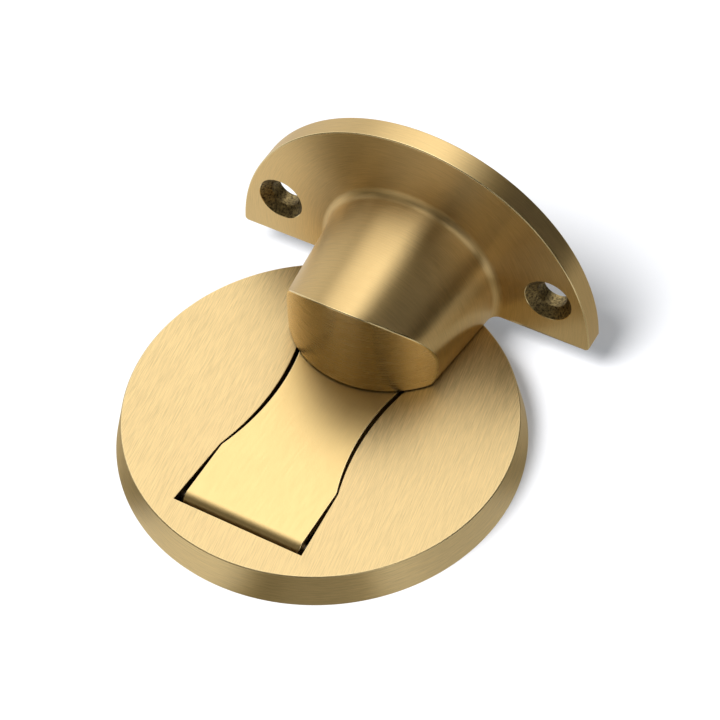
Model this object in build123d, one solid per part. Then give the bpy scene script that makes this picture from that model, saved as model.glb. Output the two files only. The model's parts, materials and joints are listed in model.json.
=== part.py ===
from build123d import *
from math import hypot
import os

# Magnetic door stop in two pieces, in millimetres.
# The floor piece is a round disc with a hinged tongue lying flush in a waisted pocket.
# The door piece is a half disc plate with a round boss, cut flat below, that holds a magnet.
# The origin is the middle of the floor disc's underside, and +Z is up.
# +Y runs from the hinged end of the tongue to the door, +X along the plate's straight edge.

# Floor disc, whose height is what the hinge needs
disc_foot_r = 24.0
disc_side_draft = 0.95
disc_edge_round = 0.22
foot_rim_w = 3.9
hinge_rim_w = 4.7

# Tongue, a folded strip with a curled eye at its hinged end
tongue_t = 1.0
tongue_hinge_half_w = 7.55
tongue_waist_half_w = 5.95
tongue_free_half_w = 8.2
tongue_shoulder_y = -9.45
tongue_waist_y = 0.3
tongue_free_shoulder_y = 11.4
tongue_tip_y = 18.0
tongue_shoulder_round = 1.5
tongue_edge_break = 0.12

# Hinge
pin_r = 0.68
pin_bore_clear = 0.03
pin_grip = 2.3
pin_end_chamfer = 0.15
curl_end_angle = -25.0

# Pocket clearances around the tongue
pocket_floor_clear = 0.1
pocket_neck_clear = 0.45
pocket_shoulder_clear = 0.15
pocket_side_clear = 0.68
pocket_end_clear = 0.15
pocket_tip_clear = 0.4
pocket_shoulder_run = 1.7
well_clear = 0.35

# Underside of the floor piece
base_plate_t = 1.1
base_plate_clear = 0.1
pin_seat_clear = 0.11
pad_t = 0.4
pad_inset = 0.1

# Door plate, a segment of a round disc a little smaller than its half
plate_centre_drop = 0.8
plate_t = 3.0
plate_front_y = 22.2
plate_edge_round = 0.25
rest_gap = 0.2

# Boss, a turned taper cut flat below its axis and trimmed by an upright drafted nose
boss_root_r = 11.35
boss_taper = 0.10
boss_axis_lift = 2.8
boss_root_fillet = 0.8
nose_r = 12.3
nose_reach = 17.6
nose_draft = 0.045
nose_edge_round = 0.3

# Countersunk screw holes in the door plate, which set how large the plate is
screw_spacing = 36.0
screw_height = 6.0
screw_hole_r = 1.9
screw_head_r = 2.95
screw_rim_w = 1.41

# Magnet
magnet_r = 4.0
magnet_clear = 0.1
magnet_floor = 1.1
magnet_face_wall = 3.6
magnet_back_inset = 2.0

# How far a cutting solid runs past what it cuts, and how near two places count as one
cut_over = 2.0
near = 0.01

# Places worked out from the sizes above
eye_bore_r = pin_r + pin_bore_clear
eye_r = eye_bore_r + tongue_t
recess_h = pad_t + base_plate_t
eye_z = recess_h + pin_seat_clear + pin_r
disc_h = eye_z + eye_r
disc_top_r = disc_foot_r - disc_side_draft
base_plate_r = disc_foot_r - foot_rim_w
pad_r = base_plate_r - pad_inset
tongue_hinge_end_y = hinge_rim_w - disc_top_r
eye_y = tongue_hinge_end_y + eye_r
pocket_floor_z = disc_h - tongue_t - pocket_floor_clear
well_back_y = eye_y + eye_r + well_clear
pocket_half_w = tongue_hinge_half_w + pocket_side_clear
pocket_end_y = tongue_hinge_end_y - pocket_end_clear
pin_half_l = pocket_half_w + pin_grip
plate_foot_z = disc_h + rest_gap
plate_r = hypot(screw_spacing / 2, screw_height + plate_centre_drop) + screw_head_r + screw_rim_w
boss_axis_z = plate_foot_z + boss_axis_lift
nose_axis_y = plate_front_y - nose_reach + nose_r
magnet_z = plate_foot_z + magnet_floor + magnet_clear + magnet_r
magnet_bore_r = magnet_r + magnet_clear
magnet_start_y = plate_front_y - nose_reach + magnet_face_wall
magnet_l = plate_front_y + plate_t - magnet_start_y - magnet_back_inset

UP = (Align.CENTER, Align.CENTER, Align.MIN)


def mirrored(points):
    """The points with X turned about, in reverse order."""
    return [(-x, y) for x, y in reversed(points)]


def waisted_face(shoulder, waist, free, tip_y, start):
    """A face with waisted sides: a straight hinge end, two neck arcs and a round free end."""
    right = [*start, shoulder]
    left = mirrored(right)
    edges = [
        Polyline(*right),
        ThreePointArc(shoulder, waist, free),
        ThreePointArc(free, (0, tip_y), (-free[0], free[1])),
        ThreePointArc((-free[0], free[1]), (-waist[0], waist[1]), (-shoulder[0], shoulder[1])),
        Polyline(*left),
        Line(left[-1], right[0]),
    ]
    face = make_face(Curve() + edges)
    corners = [Vector(sign * x, y) for x, y in (shoulder, free) for sign in (-1, 1)]
    soft = [v for v in face.vertices() if any((Vector(v) - c).length < near for c in corners)]
    return fillet(soft, tongue_shoulder_round)


def tongue_outline():
    """The tongue seen from above, from the middle of its eye to its round tip."""
    return waisted_face(
        shoulder=(tongue_hinge_half_w, tongue_shoulder_y),
        waist=(tongue_waist_half_w, tongue_waist_y),
        free=(tongue_free_half_w, tongue_free_shoulder_y),
        tip_y=tongue_tip_y,
        start=[(tongue_hinge_half_w, eye_y)],
    )


def pocket_outline():
    """The pocket seen from above: close at the shoulders, wide beside the hinge."""
    shoulder = (tongue_hinge_half_w + pocket_shoulder_clear, tongue_shoulder_y)
    return waisted_face(
        shoulder=shoulder,
        waist=(tongue_waist_half_w + pocket_neck_clear, tongue_waist_y),
        free=(tongue_free_half_w + pocket_neck_clear, tongue_free_shoulder_y),
        tip_y=tongue_tip_y + pocket_tip_clear,
        start=[(pocket_half_w, pocket_end_y), (pocket_half_w, tongue_shoulder_y - pocket_shoulder_run)],
    )


def bar_x(radius, half_length, y, z):
    """A round bar along X."""
    return Pos(0, y, z) * Rot(0, 90, 0) * Cylinder(radius, 2 * half_length)


def block(x_half, y0, y1, z0, z1):
    """A block with its middle on X = 0."""
    return Pos(0, y0, z0) * Box(2 * x_half, y1 - y0, z1 - z0, align=(Align.CENTER, Align.MIN, Align.MIN))


def hinge_well(z0, z1):
    """The space through which the tongue's eye turns."""
    return block(pocket_half_w, pocket_end_y, well_back_y, z0, z1)


def pin_groove():
    """A groove for the pin, open to the underside recess and round at its top."""
    groove_r = pin_r + pin_bore_clear
    groove = bar_x(groove_r, pin_half_l + base_plate_clear, eye_y, eye_z)
    return groove + block(pin_half_l + base_plate_clear, eye_y - groove_r, eye_y + groove_r, 0, eye_z)


def floor_disc():
    """A drafted disc with the tongue's pocket, the hinge well and a recess below."""
    body = Cone(disc_foot_r, disc_top_r, disc_h, align=UP)
    rim = body.edges().filter_by(GeomType.CIRCLE).sort_by(Axis.Z)[-1]
    body = fillet(rim, disc_edge_round)
    body -= Pos(0, 0, pocket_floor_z) * extrude(pocket_outline(), disc_h)
    body -= hinge_well(0, disc_h)
    body -= pin_groove()
    body -= Cylinder(base_plate_r + base_plate_clear, recess_h, align=UP)
    return body


def tongue():
    """The folded tongue: a flat blade and an eye curled down round the pin."""
    blade = Pos(0, 0, disc_h - tongue_t) * extrude(tongue_outline(), tongue_t)
    top_edges = blade.edges().filter_by_position(Axis.Z, disc_h - near, disc_h + near)
    outer_edges = [e for e in top_edges if e.center().Y > eye_y + near]
    blade = chamfer(outer_edges, tongue_edge_break)
    ring = Circle(eye_r) - Circle(eye_bore_r)
    mouth = Polygon((0, 0), (2 * eye_r, 0), (2 * eye_r, 2 * eye_r), (0, 2 * eye_r), align=None)
    mouth += Rot(0, 0, curl_end_angle) * Polygon((0, 0), (2 * eye_r, 0), (0, 2 * eye_r), align=None)
    curl = Plane.YZ * Pos(eye_y, eye_z) * (ring - mouth)
    curl = Pos(-tongue_hinge_half_w, 0, 0) * extrude(curl, 2 * tongue_hinge_half_w, dir=(1, 0, 0))
    return blade + curl


def hinge_pin():
    """The plain pin that the tongue turns on, lying in the disc's groove."""
    pin = bar_x(pin_r, pin_half_l, eye_y, eye_z)
    return chamfer(pin.edges().filter_by(GeomType.CIRCLE), pin_end_chamfer)


def base_plate():
    """The thin plate in the underside recess that keeps the pin in its groove."""
    plate = Pos(0, 0, pad_t) * Cylinder(base_plate_r, base_plate_t, align=UP)
    return plate - block(pocket_half_w, -disc_foot_r, well_back_y, 0, disc_h)


def adhesive_pad():
    """The round self adhesive pad that fixes the floor piece."""
    return Cylinder(pad_r, pad_t, align=UP)


def half_space_above(z):
    """A block that holds everything of the door piece above a level."""
    return block(2 * plate_r, -plate_r, 3 * plate_r, z, z + 2 * plate_r)


def door_plate():
    """The plate, a disc cut off by its straight foot, with its front edge broken."""
    disc = Rot(90, 0, 0) * Cylinder(plate_r, plate_t, align=UP)
    disc = Pos(0, plate_front_y + plate_t, plate_foot_z - plate_centre_drop) * disc
    edges = disc.edges().filter_by(GeomType.CIRCLE).sort_by(Axis.Y)
    disc = fillet(edges[0], plate_edge_round)
    return disc & half_space_above(plate_foot_z)


def boss():
    """The round tapered boss with a flat foot, trimmed at its end by the upright nose."""
    length = nose_reach + cut_over
    tip_r = boss_root_r - boss_taper * length
    taper = Pos(0, plate_front_y, boss_axis_z) * Rot(90, 0, 0) * Cone(boss_root_r, tip_r, length, align=UP)
    height = boss_root_r + boss_axis_lift + cut_over
    nose = Pos(0, nose_axis_y, plate_foot_z) * Cone(nose_r, nose_r - nose_draft * height, height, align=UP)
    nose += block(nose_r + boss_root_r, nose_axis_y, plate_front_y + plate_t, plate_foot_z, plate_foot_z + height)
    return (taper & nose) & half_space_above(plate_foot_z)


def screw_hole(x):
    """A countersunk hole through the door plate."""
    head_h = screw_head_r - screw_hole_r
    z = plate_foot_z + screw_height
    hole = Pos(x, plate_front_y, z) * Rot(-90, 0, 0) * Cylinder(screw_hole_r, plate_t, align=UP)
    sink = Pos(x, plate_front_y, z) * Rot(-90, 0, 0) * Cone(screw_head_r, screw_hole_r, head_h, align=UP)
    return hole + sink


def magnet_bore():
    """The blind bore for the magnet, open at the back of the plate."""
    depth = plate_front_y + plate_t - magnet_start_y
    return Pos(0, magnet_start_y, magnet_z) * Rot(-90, 0, 0) * Cylinder(magnet_bore_r, depth, align=UP)


def door_bracket():
    """The plate and its boss, one casting."""
    solid_boss = boss()
    crease = [
        e
        for e in solid_boss.edges()
        if e.center().Y < nose_axis_y and e.bounding_box().max.Z > plate_foot_z + near
    ]
    solid_boss = fillet(crease, nose_edge_round)
    body = door_plate() + solid_boss
    roots = [
        e
        for e in body.edges().filter_by(GeomType.CIRCLE)
        if abs(e.center().Y - plate_front_y) < near and abs(e.radius - boss_root_r) < near
    ]
    body = fillet(roots, boss_root_fillet)
    body -= screw_hole(-screw_spacing / 2)
    body -= screw_hole(screw_spacing / 2)
    return body - magnet_bore()


def magnet():
    """The round magnet at the blind end of its bore."""
    return Pos(0, magnet_start_y, magnet_z) * Rot(-90, 0, 0) * Cylinder(magnet_r, magnet_l, align=UP)


def main():
    """Write one STEP file for each piece."""
    os.makedirs("parts", exist_ok=True)
    pieces = {
        "floor_disc": floor_disc(),
        "tongue": tongue(),
        "hinge_pin": hinge_pin(),
        "base_plate": base_plate(),
        "adhesive_pad": adhesive_pad(),
        "door_bracket": door_bracket(),
        "magnet": magnet(),
    }
    for name, piece in pieces.items():
        export_step(piece, f"parts/{name}.step")
        print(name, len(piece.solids()), round(piece.volume, 1))


main()
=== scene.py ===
import json
import logging
import math
from dataclasses import dataclass, field
from enum import Enum
from typing import Any

import bmesh
import bpy
from mathutils import Matrix, Vector, geometry, noise

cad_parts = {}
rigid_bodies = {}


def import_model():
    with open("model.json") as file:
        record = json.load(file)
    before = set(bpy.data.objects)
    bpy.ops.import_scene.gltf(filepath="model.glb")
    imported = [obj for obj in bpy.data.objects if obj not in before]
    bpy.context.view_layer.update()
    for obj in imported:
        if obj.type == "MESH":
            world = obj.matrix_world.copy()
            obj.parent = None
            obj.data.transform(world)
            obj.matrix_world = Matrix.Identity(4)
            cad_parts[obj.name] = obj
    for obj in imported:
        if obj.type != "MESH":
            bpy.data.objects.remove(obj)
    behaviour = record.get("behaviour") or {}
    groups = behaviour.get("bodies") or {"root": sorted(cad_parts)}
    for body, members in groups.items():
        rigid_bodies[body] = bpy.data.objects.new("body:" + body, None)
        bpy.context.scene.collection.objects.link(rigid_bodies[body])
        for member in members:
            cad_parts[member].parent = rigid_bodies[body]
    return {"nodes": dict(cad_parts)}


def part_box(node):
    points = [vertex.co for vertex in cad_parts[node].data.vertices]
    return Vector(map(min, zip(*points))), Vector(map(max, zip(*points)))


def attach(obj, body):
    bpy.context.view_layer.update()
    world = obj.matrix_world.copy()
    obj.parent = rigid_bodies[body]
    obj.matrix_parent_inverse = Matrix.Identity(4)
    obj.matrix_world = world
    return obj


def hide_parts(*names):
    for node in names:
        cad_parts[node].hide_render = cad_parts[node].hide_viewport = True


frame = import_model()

# The look of a satin brass magnetic door stop, made around its fixed solids.
# Lengths are in metres, with the floor disc's underside on Z = 0 and the door towards +Y.

MM = 0.001
NEAR = 1e-6
# A face is level where its normal's Z is above the first number, and on an edge's round above the second.
LEVEL_NORMAL = 0.999
ROUND_NORMAL = 0.2
# Noise keeps near one half, so each pattern reads only the middle of its range.
FIBRE_RANGE = {"From Min": 0.3, "From Max": 0.7}
GRAIN_RANGE = {"From Min": 0.36, "From Max": 0.64}
FIBRE_NOISE = {"Detail": 3.0, "Roughness": 0.6}
CLOUD_NOISE = {"Detail": 2.0, "Roughness": 0.5}
GRAIN_NOISE = {"Detail": 4.0, "Roughness": 0.65}
LOG = logging.getLogger("door_stop")
Flat = tuple[float, float]
Tree = bpy.types.NodeTree
Socket = bpy.types.NodeSocket


def linear(hex_colour: str) -> tuple[float, float, float, float]:
    """Turn an sRGB hex colour into linear light.

    Args:
        hex_colour: Six hex digits, such as "E6C88F".

    Returns:
        Red, green, blue and an alpha of one.
    """
    # The numbers are those of the sRGB curve.
    shares = [int(hex_colour[i : i + 2], 16) / 255 for i in (0, 2, 4)]
    red, green, blue = [s / 12.92 if s <= 0.04045 else ((s + 0.055) / 1.055) ** 2.4 for s in shares]
    return red, green, blue, 1.0


def add_node(
    tree: Tree, kind: str, inputs: dict[str | int, Any] | None = None, **settings: Any
) -> bpy.types.Node:
    """Add a node with its values, links and settings.

    Args:
        tree: The node tree.
        kind: The node's type name.
        inputs: For each input, a plain value or the output socket that feeds it.
        settings: The node's attributes.

    Returns:
        The new node.
    """
    node = tree.nodes.new(kind)
    for name, value in settings.items():
        setattr(node, name, value)
    for name, value in (inputs or {}).items():
        if isinstance(value, Socket):
            tree.links.new(value, node.inputs[name])
        else:
            node.inputs[name].default_value = value
    return node


def add_object(name: str, data: bpy.types.ID) -> bpy.types.Object:
    """Put an object into the scene.

    Args:
        name: The object's name.
        data: Its mesh, lamp or camera.

    Returns:
        The new object.
    """
    thing = bpy.data.objects.new(name, data)
    bpy.context.scene.collection.objects.link(thing)
    return thing


def blank_material(name: str) -> tuple[bpy.types.Material, Tree, bpy.types.Node]:
    """Make a material that holds only its output.

    Args:
        name: The material's name.

    Returns:
        The material, its node tree and its output node.
    """
    material = bpy.data.materials.new(name)
    material.use_nodes = True
    tree = material.node_tree
    tree.nodes.clear()
    return material, tree, add_node(tree, "ShaderNodeOutputMaterial")


class Stroke(Enum):
    """Which way a brushed surface's strokes lie, by the axis that runs across them."""

    ACROSS_X = (1.0, 0.0, 0.0)
    ACROSS_Y = (0.0, 1.0, 0.0)
    ACROSS_Z = (0.0, 0.0, 1.0)
    ROUND_BOSS = (0.0, 0.0, 0.0)


@dataclass(frozen=True)
class BrushedBrass:
    """Satin brass, brushed with a fine abrasive belt or turned against one.

    The belt leaves fine scratches, so the eye gets short strokes that change in tone, and highlights
    that stay narrow along the strokes and spread wide across them. A real stroke is some 0.03 mm wide,
    too fine to show, so it is drawn 0.1 mm wide. The clouds are a hand's uneven pressure on the belt.
    """

    name: str
    colour: str
    stroke: Stroke
    roughness: float = 0.36
    gloss_swing: float = 0.05
    anisotropy: float = 0.93
    stroke_width: float = 0.1 * MM
    stroke_length: float = 2.4 * MM
    stroke_depth: float = 2.0e-6
    stroke_tone: float = 0.2
    cloud_size: float = 6.0 * MM
    cloud_tone: float = 0.06
    turn_deg: float = 0.0
    boss_centre: tuple[float, float, float] = (0.0, 0.0, 0.0)

    def material(self) -> bpy.types.Material:
        """Build the finish.

        Returns:
            A metal whose strokes show in tone, gloss and relief, and whose highlights spread across them.
        """
        material, tree, out = blank_material(self.name)
        place, across = self._stroke_space(tree)
        fibres = add_node(
            tree, "ShaderNodeTexNoise", {"Vector": place, "Scale": 1.0, **FIBRE_NOISE}
        ).outputs["Fac"]
        strokes = add_node(tree, "ShaderNodeMapRange", {"Value": fibres, **FIBRE_RANGE}).outputs[0]
        coords = add_node(tree, "ShaderNodeTexCoord").outputs["Object"]
        cloud = add_node(
            tree, "ShaderNodeTexNoise", {"Vector": coords, "Scale": 1.0 / self.cloud_size, **CLOUD_NOISE}
        ).outputs["Fac"]
        tone: Any = 1.0 - (self.stroke_tone + self.cloud_tone) / 2
        for pattern, weight in ((strokes, self.stroke_tone), (cloud, self.cloud_tone)):
            tone = add_node(
                tree, "ShaderNodeMath", {0: pattern, 1: weight, 2: tone}, operation="MULTIPLY_ADD"
            ).outputs[0]
        colour = add_node(
            tree, "ShaderNodeVectorMath", {0: linear(self.colour)[:3], "Scale": tone}, operation="SCALE"
        ).outputs[0]
        gloss = {"To Min": self.roughness - self.gloss_swing, "To Max": self.roughness + self.gloss_swing}
        rough = add_node(tree, "ShaderNodeMapRange", {"Value": strokes, **gloss}).outputs[0]
        bump = add_node(
            tree, "ShaderNodeBump", {"Strength": 1.0, "Distance": self.stroke_depth, "Height": strokes}
        ).outputs["Normal"]
        shader = add_node(
            tree,
            "ShaderNodeBsdfPrincipled",
            {
                "Base Color": colour,
                "Metallic": 1.0,
                "Roughness": rough,
                "Anisotropic": self.anisotropy,
                "Tangent": across,
                "Normal": bump,
            },
        )
        tree.links.new(shader.outputs[0], out.inputs["Surface"])
        return material

    def _stroke_space(self, tree: Tree) -> tuple[Socket, Socket]:
        """Stretch space along the strokes.

        Args:
            tree: The material's node tree.

        Returns:
            The stretched place and the direction across the strokes.
        """
        coords = add_node(tree, "ShaderNodeTexCoord").outputs["Object"]
        if self.stroke is Stroke.ROUND_BOSS:
            arm = add_node(
                tree, "ShaderNodeVectorMath", {0: coords, 1: self.boss_centre}, operation="SUBTRACT"
            ).outputs[0]
            arm = add_node(
                tree, "ShaderNodeVectorMath", {0: arm, 1: (1.0, 0.0, 1.0)}, operation="MULTIPLY"
            ).outputs[0]
            radius = add_node(tree, "ShaderNodeVectorMath", {0: arm}, operation="LENGTH").outputs["Value"]
            rings = add_node(
                tree, "ShaderNodeMath", {0: radius, 1: self.stroke_width}, operation="DIVIDE"
            ).outputs[0]
            step = add_node(tree, "ShaderNodeCombineXYZ", {"Y": rings}).outputs[0]
            place = add_node(
                tree,
                "ShaderNodeVectorMath",
                {0: arm, 1: (1.0 / self.stroke_length, 0.0, 1.0 / self.stroke_length), 2: step},
                operation="MULTIPLY_ADD",
            ).outputs[0]
            across_local = arm
        else:
            scale = [1.0 / (self.stroke_width if a else self.stroke_length) for a in self.stroke.value]
            turn = math.radians(self.turn_deg)
            turned = add_node(
                tree, "ShaderNodeVectorRotate", {"Vector": coords, "Angle": -turn}, rotation_type="Z_AXIS"
            ).outputs[0]
            place = add_node(tree, "ShaderNodeMapping", {"Vector": turned, "Scale": scale}).outputs[0]
            way = Matrix.Rotation(turn, 3, "Z") @ Vector(self.stroke.value)
            across_local = add_node(tree, "ShaderNodeCombineXYZ", dict(zip("XYZ", way))).outputs[0]
        across = add_node(
            tree,
            "ShaderNodeVectorTransform",
            {"Vector": across_local},
            vector_type="VECTOR",
            convert_from="OBJECT",
            convert_to="WORLD",
        ).outputs[0]
        return place, across


@dataclass(frozen=True)
class Grainy:
    """A surface with an even grain: raw casting, milled brass, drawn wire, plated sheet or foam.

    Without strokes it scatters light the same way all round, so the eye gets a speckled surface, duller
    the rougher it is. A casting's grain is some 0.3 mm. The marks of milling and drawing are finer, and
    are drawn 0.25 mm wide so that they show.
    """

    name: str
    dark: str
    light: str
    roughness: float
    grain: float = 0.25 * MM
    depth: float = 3e-6
    bump_strength: float = 0.8
    metallic: float = 1.0

    def material(self) -> bpy.types.Material:
        """Build the finish.

        Returns:
            A material speckled between its dark and its light colour.
        """
        material, tree, out = blank_material(self.name)
        coords = add_node(tree, "ShaderNodeTexCoord").outputs["Object"]
        grain = add_node(
            tree, "ShaderNodeTexNoise", {"Vector": coords, "Scale": 1.0 / self.grain, **GRAIN_NOISE}
        ).outputs["Fac"]
        share = add_node(tree, "ShaderNodeMapRange", {"Value": grain, **GRAIN_RANGE}).outputs[0]
        colour = add_node(
            tree,
            "ShaderNodeMix",
            {"Factor": share, 6: linear(self.dark), 7: linear(self.light)},
            data_type="RGBA",
        ).outputs[2]
        relief = {"Strength": self.bump_strength, "Distance": self.depth, "Height": grain}
        bump = add_node(tree, "ShaderNodeBump", relief).outputs["Normal"]
        shader = add_node(
            tree,
            "ShaderNodeBsdfPrincipled",
            {"Base Color": colour, "Metallic": self.metallic, "Roughness": self.roughness, "Normal": bump},
        )
        tree.links.new(shader.outputs[0], out.inputs["Surface"])
        return material


def soften(line: list[Flat], corner: int, radius: float, steps: int = 8) -> list[Flat]:
    """Round one corner of a fine polyline.

    Args:
        line: The polyline's points.
        corner: The corner's place in the list.
        radius: The radius that the corner gets.
        steps: How many runs the round stretch has.

    Returns:
        The polyline with a smooth curve in the corner's place.
    """
    points = [Vector(p) for p in line]
    before = (points[corner] - points[corner - 1]).normalized()
    after = (points[corner + 1] - points[corner]).normalized()
    reach = radius * math.tan(before.angle(after) / 2)
    head = [p for p in points[:corner] if (p - points[corner]).length > reach]
    tail = [p for p in points[corner + 1 :] if (p - points[corner]).length > reach]
    start, end = points[corner] - before * reach, points[corner] + after * reach
    curve = []
    for i in range(steps + 1):
        k = i / steps
        curve.append((1 - k) ** 2 * start + 2 * k * (1 - k) * points[corner] + k**2 * end)
    return [tuple(p) for p in head + curve + tail]


def arc_points(start: Flat, middle: Flat, end: Flat, steps: int) -> list[Flat]:
    """Place points on the circle arc through three points.

    Args:
        start: The arc's first point.
        middle: A point on the arc.
        end: The arc's last point.
        steps: How many runs the arc has.

    Returns:
        The arc's points with both ends.
    """
    (ax, ay), (bx, by), (cx, cy) = start, middle, end
    twice = 2 * (ax * (by - cy) + bx * (cy - ay) + cx * (ay - by))
    a2, b2, c2 = ax**2 + ay**2, bx**2 + by**2, cx**2 + cy**2
    ox = (a2 * (by - cy) + b2 * (cy - ay) + c2 * (ay - by)) / twice
    oy = (a2 * (cx - bx) + b2 * (ax - cx) + c2 * (bx - ax)) / twice
    radius = math.hypot(ax - ox, ay - oy)
    first, mid, last = [math.atan2(y - oy, x - ox) for x, y in (start, middle, end)]
    full = 2 * math.pi
    sweep = (last - first) % full
    if (mid - first) % full > sweep:
        sweep -= full
    angles = [first + sweep * i / steps for i in range(steps + 1)]
    return [(ox + radius * math.cos(a), oy + radius * math.sin(a)) for a in angles]


def quarter_round(radius: float, steps: int) -> list[Flat]:
    """Round the edge between two faces that stand square to each other.

    Args:
        radius: The round's radius.
        steps: How many runs it has.

    Returns:
        How far each place lies inside the one face and inside the other, from the first face to the second.
    """
    angles = [math.pi / 2 * i / steps for i in range(steps + 1)]
    return [(radius * (1 - math.sin(a)), radius * (1 - math.cos(a))) for a in angles]


def full_turn(count: int) -> list[float]:
    """Share a full turn out between a number of places, in radians."""
    return [math.tau * i / count for i in range(count)]


def both_sides(right: list[Flat], tip_y: float) -> list[Flat]:
    """Close an outline from its right side and its tip on X = 0, anticlockwise."""
    return right + [(0.0, tip_y)] + [(-x, y) for x, y in reversed(right)]


def inset(loop: list[Flat], distance: float, least: float = 0.3) -> list[Flat]:
    """Move a closed outline inwards.

    Args:
        loop: The outline's points, anticlockwise.
        distance: How far inwards, or outwards where it is negative.
        least: The smallest cosine that a corner's mitre is worked out from.

    Returns:
        The moved outline, with a point for each point.
    """
    moved = []
    for i, here in enumerate(loop):
        a = Vector(here) - Vector(loop[i - 1])
        b = Vector(loop[(i + 1) % len(loop)]) - Vector(here)
        left_a, left_b = Vector((-a.y, a.x)).normalized(), Vector((-b.y, b.x)).normalized()
        middle = (left_a + left_b).normalized()
        moved.append(tuple(Vector(here) + middle * distance / max(middle.dot(left_a), least)))
    return moved


# Burnished brass: a polishing wheel rubs an edge smoother than the faces beside it, so the eye gets a
# thin bright line along it.
EDGE_FINISH = Grainy("brass_burnished_edge", "E8CD94", "F2DCA8", 0.2, depth=1e-6)


@dataclass(frozen=True)
class Waisted:
    """The outline that the tongue and its pocket share, seen from above."""

    shoulder: Flat
    waist: Flat
    free: Flat
    tip_y: float
    start: tuple[Flat, ...]
    corner_round: float = 1.5 * MM
    arc_steps: int = 36
    run: float = 0.35 * MM

    def right_side(self) -> list[Flat]:
        """Trace the right side.

        Returns:
            Points from the hinge end to just before the tip, which lies on X = 0.
        """
        corners = [*self.start, self.shoulder]
        straight = []
        for a, b in zip(corners, corners[1:]):
            pieces = max(1, math.ceil(math.dist(a, b) / self.run))
            straight += [tuple(Vector(a).lerp(Vector(b), i / pieces)) for i in range(pieces)]
        neck = arc_points(self.shoulder, self.waist, self.free, self.arc_steps)
        tip = arc_points(self.free, (0.0, self.tip_y), (-self.free[0], self.free[1]), 2 * self.arc_steps)
        line = straight + neck + tip[1 : self.arc_steps]
        line = soften(line, len(straight) + self.arc_steps, self.corner_round)
        return soften(line, len(straight), self.corner_round)

    def loop(self) -> list[Flat]:
        """Close the outline with its mirrored side, anticlockwise."""
        return both_sides(self.right_side(), self.tip_y)


class Shell:
    """A mesh that is put together from bands and flat faces, each with its finish."""

    def __init__(self) -> None:
        """Start with nothing."""
        self.places: list[Vector] = []
        self.faces: list[tuple[int, ...]] = []
        self.finishes: list[int] = []

    def _add(self, places: list[Vector]) -> list[int]:
        """Keep places and give their numbers."""
        first = len(self.places)
        self.places += [Vector(p) for p in places]
        return list(range(first, first + len(places)))

    def bands(self, rows: list[list[Vector]], finish: int, closed: bool = False) -> None:
        """Join rows of places with quads.

        Args:
            rows: Rows with the same number of places.
            finish: The finish's number.
            closed: Whether each row closes on itself.
        """
        numbers = [self._add(row) for row in rows]
        width = len(rows[0])
        for low, high in zip(numbers, numbers[1:]):
            for i in range(width if closed else width - 1):
                j = (i + 1) % width
                self.faces.append((low[i], low[j], high[j], high[i]))
                self.finishes.append(finish)

    def flat(self, outline: list[Vector], holes: list[list[Vector]], finish: int) -> None:
        """Fill a flat outline that may have holes.

        Args:
            outline: The outer outline.
            holes: The outlines of the holes.
            finish: The finish's number.
        """
        loops = [outline, *holes]
        numbers = self._add([p for loop in loops for p in loop])
        for triangle in geometry.tessellate_polygon(loops):
            self.faces.append(tuple(numbers[i] for i in triangle))
            self.finishes.append(finish)

    def mesh(self, name: str) -> bpy.types.Mesh:
        """Weld the shell and turn its faces outwards.

        Args:
            name: The mesh's name.

        Returns:
            A closed mesh.
        """
        mesh = bpy.data.meshes.new(name)
        mesh.from_pydata([tuple(p) for p in self.places], [], self.faces)
        mesh.polygons.foreach_set("material_index", self.finishes)
        work = bmesh.new()
        work.from_mesh(mesh)
        bmesh.ops.remove_doubles(work, verts=work.verts, dist=NEAR)
        bmesh.ops.dissolve_degenerate(work, edges=work.edges, dist=NEAR / 10)
        bmesh.ops.recalc_face_normals(work, faces=work.faces)
        open_edges = [e for e in work.edges if not e.is_manifold]
        LOG.info("%s: %d faces, %d open edges", name, len(work.faces), len(open_edges))
        work.to_mesh(mesh)
        work.free()
        return mesh


def stacked(name: str, loops: list[list[Vector]]) -> bpy.types.Object:
    """Make a closed form from loops that lie one above the other.

    Args:
        name: The form's name.
        loops: Anticlockwise loops with the same number of places.

    Returns:
        An object to cut with.
    """
    shell = Shell()
    shell.bands(loops, 0, closed=True)
    shell.flat(loops[0], [], 0)
    shell.flat(loops[-1], [], 0)
    return add_object(name, shell.mesh(name))


@dataclass(frozen=True)
class Turning:
    """The sizes of a turned form along its own axis, and where it lies."""

    foot_r: float
    top_r: float
    length: float
    top_round: float = 0.0
    foot_round: float = 0.0
    round_steps: int = 5
    segments: int = 256
    place: tuple[float, float, float] = (0.0, 0.0, 0.0)
    turn: tuple[float, float, float] = (0.0, 0.0, 0.0)


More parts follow.
